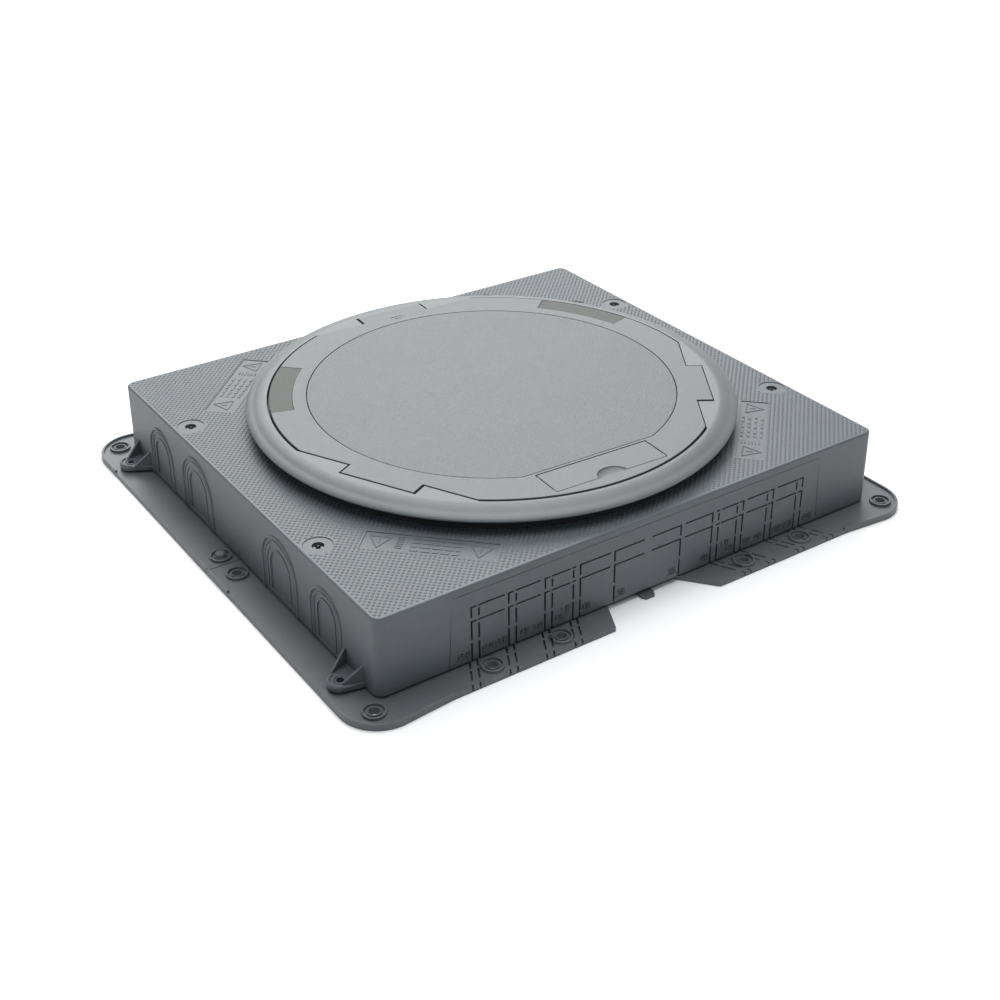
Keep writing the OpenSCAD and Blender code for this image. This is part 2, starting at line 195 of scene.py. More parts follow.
# Shader sockets that can be added and multiplied
class Wire:
    def __init__(self, tree, socket=None):
        self.tree = tree
        self.socket = socket

    def make(self, kind, settings=None, values=None, out=0):
        made = self.tree.nodes.new(kind)
        for key, value in (settings or {}).items():
            if key == "stops":
                ramp = made.color_ramp
                while len(ramp.elements) < len(value):
                    ramp.elements.new(0.5)
                for element, (place, shade) in zip(ramp.elements, value):
                    element.position = place
                    element.color = (shade, shade, shade, 1)
            else:
                setattr(made, key, value)
        for key, value in (values or {}).items():
            if isinstance(value, Wire):
                self.tree.links.new(value.socket, made.inputs[key])
            else:
                made.inputs[key].default_value = value
        return Wire(self.tree, made.outputs[out])

    def calc(self, how, first, second=0.0):
        return self.make("ShaderNodeMath", {"operation": how}, {0: first, 1: second})

    def __add__(self, other):
        return self.calc("ADD", self, other)

    __radd__ = __add__

    def __sub__(self, other):
        return self.calc("SUBTRACT", self, other)

    def __rsub__(self, other):
        return self.calc("SUBTRACT", other, self)

    def __mul__(self, other):
        return self.calc("MULTIPLY", self, other)

    __rmul__ = __mul__

    def part(self, axis):
        return self.make("ShaderNodeSeparateXYZ", {}, {0: self}, axis)

    def noise(self, scale, detail=2.0, rough=0.5):
        return self.make("ShaderNodeTexNoise", {},
                         {"Vector": self, "Scale": scale, "Detail": detail, "Roughness": rough}, "Fac")

    def ramp(self, *stops):
        return self.make("ShaderNodeValToRGB", {"stops": stops}, {"Fac": self})

    def tint(self, first, second):
        return self.make("ShaderNodeMix", {"data_type": "RGBA"},
                         {"Factor": self, 6: (*first, 1), 7: (*second, 1)}, 2)

    def into(self, shader, name):
        self.tree.links.new(self.socket, shader.inputs[name])


def newMaterial(name, **constants):
    material = bpy.data.materials.new(name)
    material.use_nodes = True
    shader = material.node_tree.nodes["Principled BSDF"]
    for key, value in constants.items():
        shader.inputs[key.replace("_", " ")].default_value = value
    net = Wire(material.node_tree)
    place = net.make("ShaderNodeTexCoord", {}, {}, "Object")
    return material, shader, net, place


def bumped(net, shader, height, strength, distance, edge=0.0003):
    rounded = net.make("ShaderNodeBevel", {"samples": 4}, {"Radius": edge})
    values = {"Height": height, "Strength": strength, "Distance": distance, "Normal": rounded}
    net.make("ShaderNodeBump", {}, values).into(shader, "Normal")


def plastic(name, dark, light, rough, grain, bump, streak=None):
    material, shader, net, place = newMaterial(name, Specular_IOR_Level=0.5)
    cloud = place.noise(22.0, 3.0, 0.6)
    flow = place.noise(140.0, 2.0, 0.5)
    fine = place.noise(1000 / grain, 2.0, 0.65)
    if streak:
        x = place.part("X") - streak["centre"][0]
        y = place.part("Y") - streak["centre"][1]
        reach = net.calc("SQRT", x * x + y * y)
        arc = net.calc("ARCTAN2", y, x) * streak["radius"]
        lay = net.make("ShaderNodeCombineXYZ", {}, {0: arc, 1: reach * streak["along"], 2: 0.0})
        comb = lay.noise(1000 / streak["width"], 2.0, 0.6)
        fine = fine * (1 - streak["share"]) + comb * streak["share"]
    patches = (cloud - 0.5) * 1.1 + (flow - 0.5) * 0.35 + (fine - 0.5) * 0.8 + 0.5
    patches.tint(dark, light).into(shader, "Base Color")
    (rough + (cloud - 0.5) * 0.12 + (fine - 0.5) * 0.22).into(shader, "Roughness")
    bumped(net, shader, fine, 1.0, bump)
    return material


def metal(name, dark, light, rough):
    material, shader, net, place = newMaterial(name, Metallic=1.0)
    cloud = place.noise(600.0, 3.0, 0.6)
    scratch = place.noise(5200.0, 2.0, 0.6)
    (cloud * 0.6 + scratch * 0.4).tint(dark, light).into(shader, "Base Color")
    (rough + (cloud - 0.5) * 0.25).into(shader, "Roughness")
    bumped(net, shader, scratch, 0.5, 0.00002)
    return material


def rubber(name, dark, light, rough, grain, bump):
    material, shader, net, place = newMaterial(name, Specular_IOR_Level=0.35)
    cloud = place.noise(60.0, 3.0, 0.6)
    fine = place.noise(1000 / grain, 2.0, 0.6)
    (cloud * 0.6 + fine * 0.4).tint(dark, light).into(shader, "Base Color")
    (rough + (cloud - 0.5) * 0.15).into(shader, "Roughness")
    bumped(net, shader, fine, 1.0, bump)
    return material


# Open-cell look: small pits in a fine even net, with painted shade darkening the pits over the foam's own mottle
def foamLook(name, dark, light, rough, cell, depth):
    material, shader, net, place = newMaterial(name, Specular_IOR_Level=0.3)
    values = {"Vector": place, "Scale": 1000 / cell}
    pits = net.make("ShaderNodeTexVoronoi", {"feature": "F1"}, values, "Distance")
    cloud = place.noise(180.0, 3.0, 0.65)
    fibres = place.noise(2600.0, 2.0, 0.6)
    # pit centres painted darker: painted shade in the pits; cloud and fibres give the foam's own mottle
    wall = pits.ramp((0.15, 0.0), (0.55, 1.0))
    shade = 0.45 * wall.make("ShaderNodeRGBToBW", {}, {0: wall}) + cloud * 0.8 + (fibres - 0.5) * 0.3 - 0.15
    shade.tint(dark, light).into(shader, "Base Color")
    (rough + (cloud - 0.5) * 0.2).into(shader, "Roughness")
    bumped(net, shader, pits * 0.7 + fibres * 0.3, 1.0, depth)
    return material


ringPlace = {"centre": (2.0, -1.5), "turn": -2.4}
ringTurn = Matrix.Rotation(math.radians(ringPlace["turn"]), 4, "Z")
ringFrame = Matrix.Translation((*ringPlace["centre"], 0)) @ ringTurn

hoodPlastic = plastic("hoodPlastic", (0.063, 0.074, 0.083), (0.097, 0.111, 0.122), 0.46, 0.30, 0.00003)
basePlastic = plastic("basePlastic", (0.068, 0.076, 0.083), (0.106, 0.116, 0.124), 0.44, 0.35, 0.00003)
ringPlastic = plastic("ringPlastic", (0.112, 0.119, 0.124), (0.150, 0.158, 0.163), 0.46, 0.8, 0.00010)
lidPlastic = plastic("lidPlastic", (0.079, 0.082, 0.085), (0.120, 0.124, 0.127), 0.46, 1.3, 0.00026,
                     {"centre": (0.002, -0.0015), "radius": 0.13, "along": 0.06, "width": 0.8, "share": 0.5})
inlayPlastic = plastic("inlayPlastic", (0.080, 0.083, 0.086), (0.128, 0.131, 0.134), 0.48, 1.5, 0.00045)
steel = metal("platedSteel", (0.42, 0.42, 0.41), (0.68, 0.67, 0.65), 0.34)
# nearly black steel for the levelling screws: painted shade for the dark recessed holes they sit in
darkSteel = metal("darkSteel", (0.05, 0.05, 0.05), (0.30, 0.29, 0.28), 0.42)
zinc = metal("castZinc", (0.34, 0.35, 0.36), (0.50, 0.51, 0.52), 0.52)
brass = metal("turnedBrass", (0.55, 0.40, 0.17), (0.78, 0.60, 0.29), 0.30)
sealRubber = rubber("sealRubber", (0.008, 0.008, 0.009), (0.018, 0.018, 0.020), 0.55, 0.5, 0.00004)
cableFoam = foamLook("cableFoam", (0.084, 0.087, 0.084), (0.141, 0.144, 0.138), 0.78, 0.75, 0.00009)
print("materials ready")


# Hood
hood = {
    "halfX": (186.1, 185.35), "halfY": (168.9, 168.2), "low": 4.5, "top": 55.0,
    "corner": 6.0, "edge": 1.3, "wall": 2.6, "plate": 3.0, "opening": 144.5,
    "screws": (174.0, 86.0), "pad": 8.8, "padDeep": 0.45, "hole": 3.6, "boss": 8.6, "shank": 3.0,
    "label": {"radius": 173.5, "half": (9.0, 39.0), "deep": 0.45},
    "slot": 1.25, "cover": (40.0, 30.5),
}


def hoodHalf(z, inset=0.0):
    t = (z - hood["low"]) / (hood["top"] - hood["low"])
    return [pair[0] + (pair[1] - pair[0]) * t - inset for pair in (hood["halfX"], hood["halfY"])]


def hoodRing(z, inset=0.0, shrink=0.0):
    x, y = hoodHalf(z, inset + shrink)
    return level(roundRect(x, y, hood["corner"] - inset - shrink, 10), z)


def hoodBody():
    top, edge, low = hood["top"], hood["edge"], hood["low"]
    rings = [hoodRing(low), hoodRing(top - edge)]
    for k in range(1, 9):
        a = math.pi / 2 * k / 8
        rings.append(hoodRing(top - edge + edge * math.sin(a), edge * (1 - math.cos(a))))
    body = shown(Form().loft(rings), "hoodShell")
    carve(body, Form().loft([hoodRing(low - 1, hood["wall"]), hoodRing(top - hood["plate"], hood["wall"])]))
    screwX, screwY = hood["screws"]
    spots = [(sx * screwX, sy * screwY) for sx in (-1, 1) for sy in (-1, 1)]
    bosses, pads, holes, shanks = Form(), Form(), Form(), Form()
    for spot in spots:
        bosses.drum(spot, hood["boss"], top - 6, top - 1, 48)
        pads.drum(spot, hood["pad"], top - hood["padDeep"], top + 1, 64)
        holes.drum(spot, hood["hole"], top - 4.0, top + 1, 48)
        shanks.drum(spot, hood["shank"], top - 8, top, 32)
    add(body, bosses)
    carve(body, Form().drum((0, 0), hood["opening"], top - 5, top + 2, 192))
    for tool in (pads, holes, shanks):
        carve(body, tool)
    fields = Form()
    label = hood["label"]
    for a in (45, 135, 225, 315):
        turn = Matrix.Rotation(math.radians(a), 4, "Z")
        fields.block((label["radius"] - label["half"][0], label["radius"] + label["half"][0]),
                     (-label["half"][1], label["half"][1]), (top - label["deep"], top + 1), turn)
    carve(body, fields)
    return body


# Perforated knock-out lines of the trunking sizes: outer lines end in a corner, inner lines are plain dashes
trunkLines = {
    "outer": (125.0, 100.0, 75.0, 50.0, 25.0),
    "inner": (120.0, 95.0, 70.0, 55.0),
    "outerDashes": ((33.0, 40.0), (18.0, 30.5), (3.0, 16.2)),
    "innerDashes": ((33.0, 38.2), (18.0, 28.4), (3.0, 16.2)),
    "across": ((121.6, 125.0), (103.0, 120.6), (96.6, 100.0), (78.2, 95.6), (71.6, 75.0), (57.3, 70.6),
               (53.2, 56.0), (28.2, 50.0), (3.0, 25.0)),
}
# The thin witness line of the mould's slide: two leaning lines and one along the top of each wall
witness = {"middle": 138.8, "lean": 3.4, "run": (-24.5, 22.6), "half": 137.4, "top": (49.9, 50.2)}
half180 = Matrix.Rotation(math.pi, 4, "Z")


def hoodSlots(body):
    wide = hood["slot"] / 2
    depth = (-172.0, -160.0)
    upright, flat = Form(), Form()
    for turn in (Matrix.Identity(4), half180):
        for side in (-1, 1):
            for kind in ("outer", "inner"):
                for x in trunkLines[kind]:
                    for low, high in trunkLines[kind + "Dashes"]:
                        upright.block((side * x - wide, side * x + wide), depth,
                                      (low, high + (wide * 0.8 if kind == "outer" and low > 17 else 0)), turn)
            for z in hood["cover"]:
                for first, last in trunkLines["across"]:
                    xs = sorted((side * first, side * last))
                    flat.block(xs, depth, (z - wide * 0.8, z + wide * 0.8), turn)
    carve(body, upright)
    carve(body, flat)
    lines = Form()
    for turn in (Matrix.Identity(4), half180):
        y = -hoodHalf(27)[1]
        for side in (-1, 1):
            slant = Matrix.Rotation(math.radians(-side * witness["lean"]), 4, "Y")
            lean = Matrix.Translation((side * witness["middle"], 0, 27)) @ slant
            lines.block((-0.2, 0.2), (y - 2, y + 0.28), witness["run"], turn @ lean)
    carve(body, lines)
    tops = Form()
    for turn in (Matrix.Identity(4), half180):
        y = -hoodHalf(50)[1]
        tops.block((-witness["half"], witness["half"]), (y - 2, y + 0.22), witness["top"], turn)
    carve(body, tops)
    return body


arches = {"places": ((112.5, 18.4, 13.4, 11.2), (56.8, 22.2, 15.4, 11.2)), "height": 25.4, "step": 0.4,
          "foot": 7.0}


def archLine(y, radius, low, side, count=28):
    turns = [math.pi * k / count for k in range(count + 1)]
    bow = [(y - radius * math.cos(a), arches["height"] + radius * math.sin(a)) for a in turns]
    line = [(y - radius, low)] + bow + [(y + radius, low)]
    return [Vector((side * hoodHalf(z)[0], v, z)) for v, z in line]


def hoodArches(body):
    for side in (-1, 1):
        for depth, pick in ((1, 2), (2, 3)):
            tool = Form()
            for spot in arches["places"]:
                for sy in (-1, 1):
                    face = archLine(sy * spot[0], spot[pick], arches["foot"], side)
                    rings = [[p + Vector((side * d, 0, 0)) for p in face]
                             for d in (-depth * arches["step"], 3.0)]
                    if side < 0:
                        rings = [list(reversed(ring)) for ring in rings]
                    tool.loft([list(reversed(ring)) for ring in rings])
            carve(body, tool)
        trim = Form()
        outward = Vector((side, 0, 0.019))
        for spot in arches["places"]:
            for sy in (-1, 1):
                trim.ridge(archLine(sy * spot[0], spot[1] - 0.9, hood["low"] + 0.3, side), outward, 2.1, 1.15)
                for inner, high in ((3.7, 0.55), (spot[1] - spot[2] + 3.0, 0.1)):
                    trim.ridge(archLine(sy * spot[0], spot[1] - inner, hood["low"] + 0.3, side), outward, 1.2,
                               high, 1.4)
        attach(body, trim)
    return body


lugs = {"hole": (196.2, 146.0), "radius": 7.7, "thick": 3.0, "bore": 2.25, "wide": (-13.5, 9.5), "rise": 15.0}


def lugOutline(inset):
    cx = lugs["hole"][0] - hoodHalf(5)[0]
    r = lugs["radius"] - inset
    low, high = lugs["wide"]
    points = [(-2.0, low + inset), (1.5, low + inset)]
    for k in range(13):
        a = math.radians(-62 + 124 * k / 12)
        points.append((cx + r * math.cos(a), r * math.sin(a)))
    return points + [(1.5, high - inset), (-2.0, high - inset)]


def hoodLugs(body):
    base = hoodHalf(5)[0]
    for sx in (-1, 1):
        for sy in (-1, 1):
            shift = Matrix.Translation((sx * base, sy * lugs["hole"][1], hood["low"]))
            place = shift @ Matrix.Diagonal((sx, sy, 1, 1))
            form = Form().slab(lugOutline, 0, lugs["thick"], 0.5)
            cx = lugs["hole"][0] - base
            reach = lugs["radius"] - 1.2
            arc = [Vector((cx + reach * math.cos(a), reach * math.sin(a), lugs["thick"]))
                   for a in (math.radians(-75 + 150 * k / 20) for k in range(21))]
            rim = Form().ridge(arc, Vector((0, 0, 1)), 1.8, 0.9)
            ring = [Vector((cx + 3.6 * math.cos(a), 3.6 * math.sin(a), lugs["thick"]))
                    for a in (2 * math.pi * k / 28 for k in range(29))]
            rim.ridge(ring, Vector((0, 0, 1)), 1.1, 0.6)
            for y in (lugs["wide"][0] + 1.0, lugs["wide"][1] - 1.0):
                lean = -1 if y > 0 else 1
                foot = [(-1.5, y), (cx + 1.0, y + lean * 4.4)]
                rings = []
                for dy in (-0.9, 0.9):
                    rings.append([Vector((foot[0][0], foot[0][1] + dy, 0.5)),
                                  Vector((foot[1][0], foot[1][1] + dy, 0.5)),
                                  Vector((foot[1][0], foot[1][1] + dy, lugs["thick"] + 0.7)),
                                  Vector((foot[0][0], foot[0][1] + dy, lugs["rise"]))])
                rim.loft([list(reversed(ring)) for ring in rings])
            mirror = sx * sy < 0
            for part in (form, rim):
                part.moved(place)
                if mirror:
                    part.faces = [tuple(reversed(f)) for f in part.faces]
            piece = shown(form, "lug")
            carve(piece, Form().drum((sx * lugs["hole"][0], sy * lugs["hole"][1]), lugs["bore"], 0, 20, 32))
            join(body, piece)
            attach(body, rim)
    return body


# Plain size figures in straight strokes, each with a line under it
strokes = {"0": "abcdef", "1": "bc", "2": "abged", "4": "fgbc", "5": "afgcd", "9": "abcdfg"}
figures = (("250", -130.6, 8.6), ("240", -114.6, 8.6), ("200", -105.6, 8.6), ("190", -90.4, 8.6),
           ("150", -81.0, 8.6),
           ("140", -65.8, 8.2), ("110", -61.4, 12.8), ("100", -46.4, 8.6), ("50", -19.6, 8.6),
           ("50", 19.4, 8.6), ("100", 44.0, 8.6), ("110", 60.6, 13.4), ("140", 64.6, 8.2), ("150", 79.0, 8.6),
           ("190", 88.6, 8.6), ("200", 105.0, 8.6), ("240", 114.4, 8.6), ("250", 131.4, 8.6))


def hoodFigures(form):
    wide, tall, pen, step = 1.7, 3.1, 0.46, 2.6
    for text, middle, z in figures:
        y = -hoodHalf(z)[1]
        depth = (y - 0.42, y + 0.6)
        left = middle - step * len(text) / 2 + (step - wide) / 2
        for digit in text:
            bars = {"a": ((0, wide), (tall, tall)), "b": ((wide, wide), (tall / 2, tall)),
                    "c": ((wide, wide), (0, tall / 2)),
                    "d": ((0, wide), (0, 0)), "e": ((0, 0), (0, tall / 2)), "f": ((0, 0), (tall / 2, tall)),
                    "g": ((0, wide), (tall / 2, tall / 2))}
            for letter in strokes[digit]:
                xs, zs = bars[letter]
                grow = pen / 2
                form.block((left + xs[0] - grow, left + xs[1] + grow), depth,
                           (z + zs[0] - grow, z + zs[1] + grow))
            left += step
        form.block((middle - 4.1, middle + 4.1), depth, (z - 1.15, z - 0.75))
    return form


dashRows = (((-10.5, -7.0), (-5.6, 0.4), (1.8, 8.0), (9.4, 14.0), (15.4, 18.0)),
            ((-10.5, -5.6), (-4.2, 1.4), (2.8, 6.0), (7.4, 12.6), (14, 18.0)))


# Plain marks in each sunk field: an arrow head at both ends, a short hatch and four rows of dashes
def hoodMarks(form):
    low, high = hood["top"] - hood["label"]["deep"] - 0.1, hood["top"] - 0.08
    for a in (45, 135, 225, 315):
        turn = Matrix.Rotation(math.radians(a), 4, "Z") @ Matrix.Translation((hood["label"]["radius"], 0, 0))
        for v in (-29.5, 29.5):
            outer = [(-5.2, v - 6.4), (6.4, v), (-5.2, v + 6.4)]
            for k in range(3):
                start, end = Vector((*outer[k], high - 0.25)), Vector((*outer[(k + 1) % 3], high - 0.25))
                first = len(form.points)
                form.ridge([start, end], Vector((0, 0, 1)), 0.8, 0.25, 0.2).moved(turn, first)
            form.block((-2.8, 1.2), (v - 0.35, v + 0.35), (low, high - 0.1), turn)
        for k in range(6):
            form.block((-6.6 + 2.2 * k, -5.9 + 2.2 * k), (-19.5, -15.5), (low, high - 0.05), turn)
        for row, u in enumerate((-6.6, -2.5, 1.6, 5.7)):
            for first, last in dashRows[row % 2]:
                form.block((u - 0.8, u + 0.8), (first, last), (low, high - 0.05), turn)
    return form


grip = {"pitch": 1.938, "radius": 1.02, "height": 0.32, "shoulder": 0.66, "steps": 7,
        "start": 149.6, "clear": 1.0}


def hoodGrip():
    top = hood["top"]
    halfX, halfY = hoodHalf(top, hood["edge"] + 0.7)
    screwX, screwY = hood["screws"]
    cx, cy = ringPlace["centre"]
    label = hood["label"]
    form = Form()
    points, faces = form.points, form.faces
    n = grip["steps"]
    around = [(math.cos(a), math.sin(a)) for a in (2 * math.pi * (k + 0.5) / n for k in range(n))]
    countX, countY = int(halfX / grip["pitch"]), int(halfY / grip["pitch"])
    for i in range(-countX, countX + 1):
        for j in range(-countY, countY + 1):
            x, y = i * grip["pitch"], j * grip["pitch"]
            onPad = math.hypot(abs(x) - screwX, abs(y) - screwY) < hood["pad"] + grip["clear"]
            if (i + j) % 2 or onPad or math.hypot(x - cx, y - cy) < grip["start"]:
                continue
            u, v = (abs(x) + abs(y)) / math.sqrt(2) - label["radius"], (abs(x) - abs(y)) / math.sqrt(2)
            if abs(u) < label["half"][0] + grip["clear"] and abs(v) < label["half"][1] + grip["clear"]:
                continue
            first = len(points)
            for radius, z in ((grip["radius"], -0.06),
                              (grip["radius"] * grip["shoulder"], grip["height"] * 0.85)):
                points.extend(Vector((x + radius * c, y + radius * s, top + z)) for c, s in around)
            points.append(Vector((x, y, top + grip["height"])))
            for k in range(n):
                m = (k + 1) % n
                faces.append((first + k, first + m, first + n + m, first + n + k))
                faces.append((first + n + k, first + n + m, first + 2 * n))
            faces.append(tuple(first + k for k in reversed(range(n))))
    return form


hoodShell = hoodLugs(hoodArches(hoodSlots(hoodBody())))
marks = Form()
hoodFigures(marks)
count = len(marks.points)
rear = [half180 @ p for p in marks.points]
marks.faces += [tuple(i + count for i in f) for f in marks.faces]
marks.points += rear
attach(hoodShell, hoodMarks(marks))
finishPiece(hoodShell, "hoodShell", "hood", hoodPlastic, ["hood"])
finishPiece(shown(hoodGrip(), "hoodGrip"), "hoodGrip", "hood", hoodPlastic, sharp=70)


# Base frame: the rear half is the front half turned round
base = {
    "half": (208.5, 191.0), "corner": 25.0, "flange": 3.0, "relief": (150.0, 3.0),
    "skirt": (182.2, 165.0), "skirtThick": 2.3, "skirtHigh": 38.0, "post": 6.5, "postHigh": 42.0, "through": 3.45,
    "windows": ((112.5, 18.4), (56.5, 22.2)),
    "insert": 4.2, "boss": 7.3, "bossHigh": 1.8, "bore": 2.25,
    "bosses": ((-192.5, -176.0), (192.5, -176.0), (-117.5, -178.0), (-70.0, -178.0), (70.0, -178.0),
               (117.5, -178.0), (-194.5, -14.5), (194.5, -9.0)),
    "peg": 3.6, "scores": (50, 55, 70, 75, 95, 100, 120, 125), "scoreStart": (1.6, -168.5),
    "slotHalf": 0.55, "slotFloor": 0.5, "nickHalf": 0.5, "nickFloor": 0.4, "nickEdge": -187.4,
    "notch": (-27.5, -40.0, 24.0, 46.0), "splay": 28.5, "dashes": ((-5.0, 1.2), (-16.0, -7.0), (-24.0, -19.6)),
}


def flangeOutline(inset):
    hx, hy = base["half"]
    flat, draw = base["relief"]
    r = base["corner"] - inset
    points = []
    for sx, sy, start in ((1, 1, 0), (-1, 1, 90), (-1, -1, 180), (1, -1, 270)):
        corner = []
        for k in range(13):
            a = math.radians(start + 90 * k / 12)
            corner.append((sx * (hx - base["corner"]) + r * math.cos(a),
                           sy * (hy - base["corner"]) + r * math.sin(a)))
        if start == 0:
            points += corner + [(flat, hy - draw - inset), (-flat, hy - draw - inset)]
        elif start == 180:
            points += corner + [(-flat, -hy + draw + inset), (flat, -hy + draw + inset)]
        else:
            points += corner
    return points


# The small snap tab in the middle of the long side
def tabOutline(inset):
    near, side = -173.5 + inset, 5 - inset
    return [(-side, -164.5), (-side, -171.0), (-3 + inset, near), (3 - inset, near), (side, -170.0),
            (side, -164.5)]


def baseHalf(name, turn):
    flange = base["flange"]
    skirtX, skirtY = base["skirt"]
    thick = base["skirtThick"]
    piece = shown(Form().slab(flangeOutline, 0, flange, 0.45), name)
    carve(piece, Form().slab(lambda i: roundRect(skirtX - thick, skirtY - thick, 5, 6), -1, 60))
    skirt = shown(Form().slab(lambda i: roundRect(skirtX - i, skirtY - i, 6, 8), 0.5, base["skirtHigh"], 0.4),
                  "skirt")
    carve(skirt, Form().slab(lambda i: roundRect(skirtX - thick, skirtY - thick, 3.7, 8), -1, 60))
    windows = Form().block((-127, 127), (-skirtY - 2, -skirtY + 5), (flange, 60))
    for s in (-1, 1):
        for y, wide in base["windows"]:
            windows.block(sorted((s * (skirtX - 5), s * (skirtX + 3))), (-y - wide, -y + wide), (flange, 60))
    carve(skirt, windows)
    combine(piece, skirt, "UNION")
    lip = shown(Form().slab(flangeOutline, 1, flange + 1.4, 0.35), "lip")
    carve(lip, Form().slab(lambda i: flangeOutline(1.7), 0, 9))
    away = Form().block((-400, 400), (-146, -29), (0, 9))
    away.block((-148, 148), (-400, -148), (0, 9))
    carve(lip, away)
    combine(piece, lip, "UNION")
    raised, sunk, bores = Form(), Form(), Form()
    for spot in base["bosses"]:
        raised.drum(spot, base["boss"], 0.6, flange + base["bossHigh"], 48, 0.45, base["boss"] - 0.3)
        sunk.drum(spot, base["boss"] - 1.7, flange + 0.2, flange + 6, 48, top=base["boss"] - 0.9)
        bores.drum(spot, base["bore"], -1, 20, 32, top=base["bore"] + 3.4)
    add(piece, raised)
    carve(piece, sunk)
    collars = Form()
    for spot in base["bosses"]:
        collars.drum(spot, base["bore"] + 1.9, flange, flange + 1.3, 32, 0.3)
    add(piece, collars)
    carve(piece, bores)
    sinks = Form()
    for spot in base["bosses"]:
        sinks.drum(spot, base["bore"] + 0.15, 1.4, flange + 6, 32, top=base["bore"] + 2.6)
    carve(piece, sinks)
    add(piece, Form().drum((194.5, -9.0), base["peg"], 0.5, 6.6, 32, 1.5))
    screwX, screwY = hood["screws"]
    for s in (-1, 1):
        spot = (s * screwX, -screwY)
        add(piece, Form().drum(spot, base["post"], 0.4, base["postHigh"], 48, 0.4))
        add(piece, Form().block(sorted((s * 162.0, s * (skirtX - 1))), (-87.2, -84.8), (0.4, 20)))
        carve(piece, Form().drum(spot, base["insert"], base["postHigh"] - 8, 60, 48))
        carve(piece, Form().drum(spot, base["through"], -1, 60, 48))
    carve(piece, notchForm())
    slots, edges = Form(), Form()
    wide = base["slotHalf"]
    outward, start = base["scoreStart"]
    for s in (-1, 1):
        for x in base["scores"]:
            slant = Matrix.Rotation(math.radians(s * base["splay"]), 4, "Z")
            lean = Matrix.Translation((s * (x + outward), start, 0)) @ slant
            for low, high in base["dashes"]:
                slots.block((-wide, wide), (low, high), (base["slotFloor"], 20), lean)
            edges.block((-base["nickHalf"], base["nickHalf"]), (-30, -21.6), (base["nickFloor"], 20), lean)
    carve(piece, slots)
    # nicks in the outer edge only
    for p in edges.points:
        p.y = min(p.y, base["nickEdge"])
    carve(piece, edges)
    carve(piece, Form().block((-400, 400), (-0.3, 400), (-5, 80)))
    add(piece, Form().slab(tabOutline, 0.1, 2.0, 0.3))
    for v in piece.data.vertices:
        v.co = turn @ v.co
    return piece


def notchForm():
    a, b, c, d = base["notch"]
    y0, y1 = -165.5, -192.0
    ring = [(a, y0), (b, y1), (d, y1), (c, y0)]
    return Form().loft([level(ring, z) for z in (-1, 10)])


frontHalf = baseHalf("baseFront", Matrix.Identity(4))
finishPiece(frontHalf, "baseFront", "base", basePlastic, ["base_front"])
rearHalf = baseHalf("baseRear", half180)
finishPiece(rearHalf, "baseRear", "base", basePlastic, ["base_rear"])


# Outlet ring and lid, which share the ring's own frame
ring = {
    "profile": ((138.5, 38.0), (141.0, 38.0), (141.0, 63.1), (158.8, 63.5), (160.0, 63.7), (160.35, 64.2),
                (160.4, 64.7), (160.1, 65.3), (159.2, 66.0), (158.0, 66.6), (156.8, 67.05), (155.7, 67.4),
                (154.8, 67.85), (153.7, 68.4), (152.3, 69.05), (150.8, 69.55), (149.4, 69.9),
                (148.3, 70.08), (147.4, 70.12), (131.0, 70.12), (131.0, 61.6), (138.5, 61.6)),
    "ledge": 64.0, "gaps": (1.4, 0.6, 0.6, 1.45), "aside": (-0.25, -0.37),
    "claws": (60, 180, 300), "clawRadius": 131.0, "clawBore": 2.5, "clawBoss": (6.0, 52.5, 58.0),
    "clawArm": ((131, 139.5), (-3, 3), (52.8, 56.5)), "window": ((132, 146), (-28, 8), (37, 51.7)),
}
lid = {"radius": 145.2, "flat": 131.6, "tab": 142.2, "tabHalf": 25.0, "low": 65.0, "top": 70.4,
       "inlay": 120.8, "inlayFlat": 111.2, "inlayDeep": 3.0, "inlayThick": 2.9, "inlayGap": 0.5,
       "flapHalf": 39.8, "flapNear": 114.1, "flapFar": 136.1, "flapThick": 3.0, "flapGap": 0.7,
       "foamNear": 130.3, "foamHalf": 13.3, "screwRadius": 100.0, "pin": (-115.6, 69.0),
       "pinRun": (39.0, 44.6), "scoop": (10.3, 8.4, 2.1)}


def lidOutline(inset, grow=(0, 0, 0, 0)):
    sizes = zip(("radius", "flat", "tab", "tabHalf"), grow)
    radius, flat, tab, half = (lid[key] - inset + more for key, more in sizes)
    end = math.degrees(math.acos(flat / radius))
    points = []
    for f in (90, 210, 330):
        turn = Matrix.Rotation(math.radians(f), 2)
        points.append((radius * math.cos(math.radians(f - end)), radius * math.sin(math.radians(f - end))))
        points += [tuple(turn @ Vector(p)) for p in ((flat, -half), (tab, -half), (tab, half), (flat, half))]
        for k in range(49):
            a = math.radians(f + end + (120 - 2 * end) * k / 49)
            points.append((radius * math.cos(a), radius * math.sin(a)))
    return points


def inlayOutline(inset):
    radius, flat = lid["inlay"] - inset, lid["inlayFlat"] - inset
    a = math.asin(flat / radius)
    return [(radius * math.cos(t), radius * math.sin(t))
            for t in (-a + (math.pi + 2 * a) * k / 160 for k in range(161))]


def sectorOutline(near, far, half, middle):
    angles = [math.radians(middle + half * (2 * k / 20 - 1)) for k in range(21)]
    outer = [(far * math.cos(t), far * math.sin(t)) for t in angles]
    return outer + [(near * math.cos(t), near * math.sin(t)) for t in reversed(angles)]


def foamOutline(inset, middle):
    near, far = lid["foamNear"] + inset, lid["radius"] - inset
    return sectorOutline(near, far, lid["foamHalf"] - inset * 0.42, middle)


def flapOutline(grow):
    return roundRect(lid["flapHalf"] + grow, (lid["flapFar"] - lid["flapNear"]) / 2 + grow, 0.6, 3,
                     (0, -(lid["flapFar"] + lid["flapNear"]) / 2))


def pinRings(places, radius):
    y, z = lid["pin"]
    turns = [2 * math.pi * k / 24 for k in range(24)]
    return [[Vector((x, y + radius * math.cos(t), z + radius * math.sin(t))) for t in turns] for x in places]


